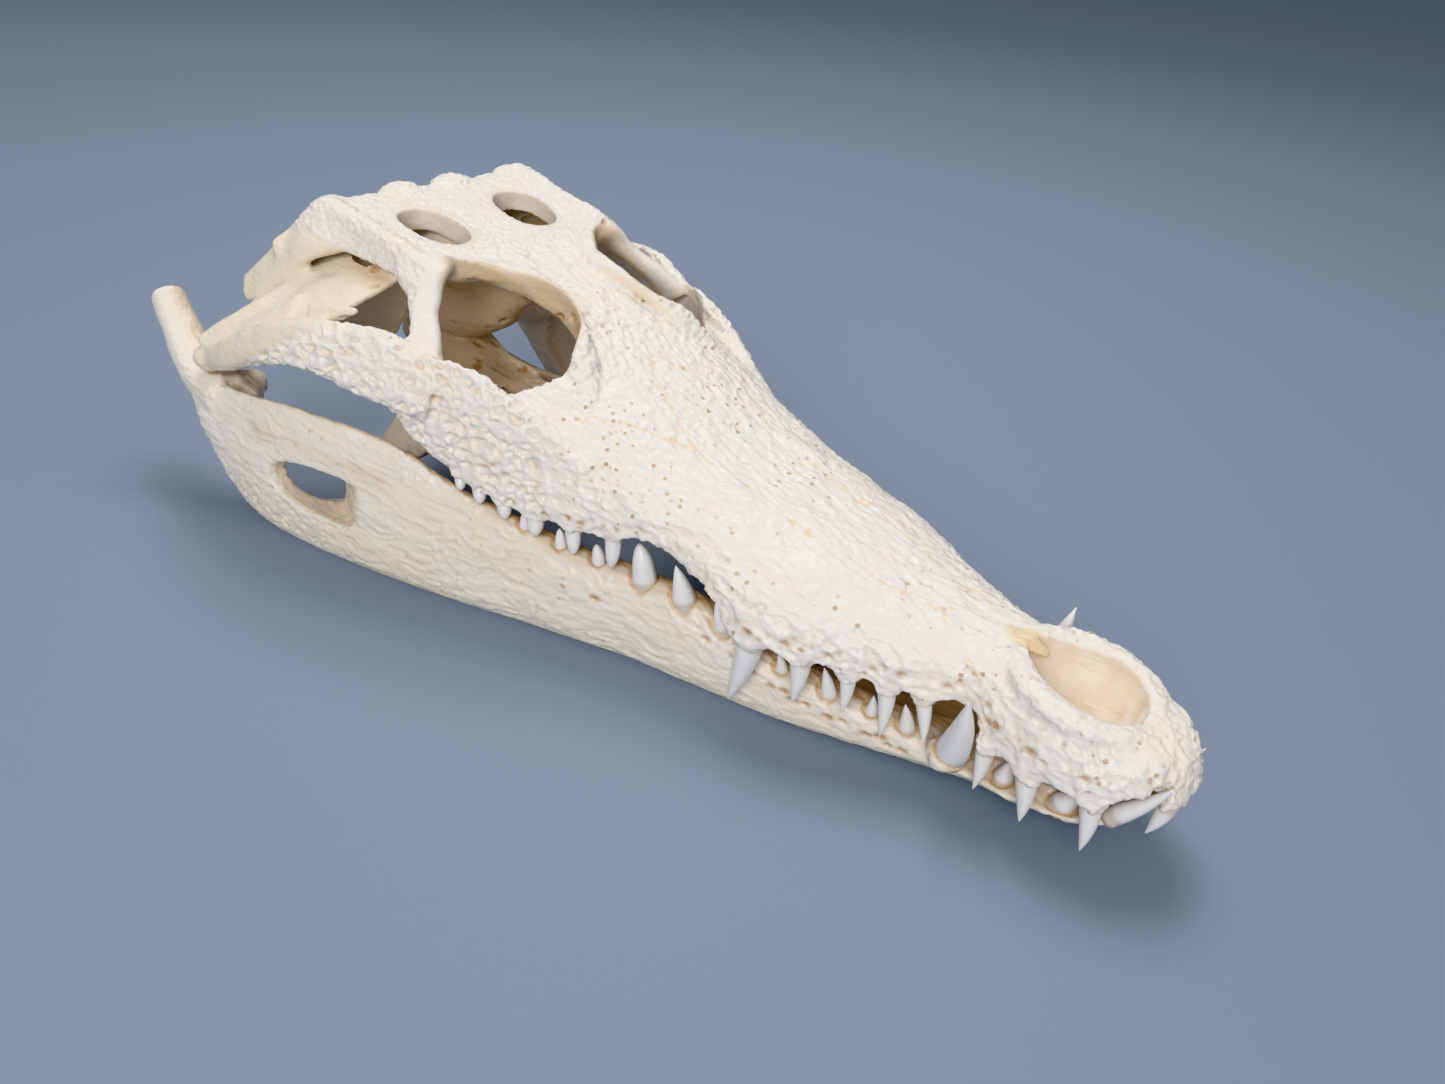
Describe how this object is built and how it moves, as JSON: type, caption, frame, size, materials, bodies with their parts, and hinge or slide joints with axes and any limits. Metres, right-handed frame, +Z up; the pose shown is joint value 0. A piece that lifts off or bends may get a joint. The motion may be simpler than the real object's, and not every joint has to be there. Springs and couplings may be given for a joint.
{
  "type": "crocodile skull",
  "caption": "Young crocodile skull with its lower jaw closed, long tapering snout, interlocking teeth, eye and temple openings, resting on the lower jaw",
  "frame": {"origin": "under the middle of the skull's length and width, on the floor that the lower jaw rests on", "axes": "+Z up, the snout points to -Y, +X is the skull's own left"},
  "size_m": [0.1327, 0.303, 0.088],
  "materials": {
    "upper_bone": "dry bleached bone, ivory white",
    "lower_bone": "dry bone, cream, slightly smoother",
    "inner_bone": "dry bone, beige to tan, in shade"
  },
  "bodies": {
    "root": {"premaxilla": "upper_bone", "maxilla": "upper_bone", "frontal": "upper_bone", "skull_table": "upper_bone", "braincase": "inner_bone", "palatine": "inner_bone", "pterygoid_left": "inner_bone", "pterygoid_right": "inner_bone", "quadrate_left": "lower_bone", "quadrate_right": "lower_bone", "jugal_left": "upper_bone", "jugal_right": "upper_bone", "dentary_left": "lower_bone", "dentary_right": "lower_bone", "angular_left": "lower_bone", "angular_right": "lower_bone", "articular_left": "lower_bone", "articular_right": "lower_bone"}
  },
  "joints": []
}
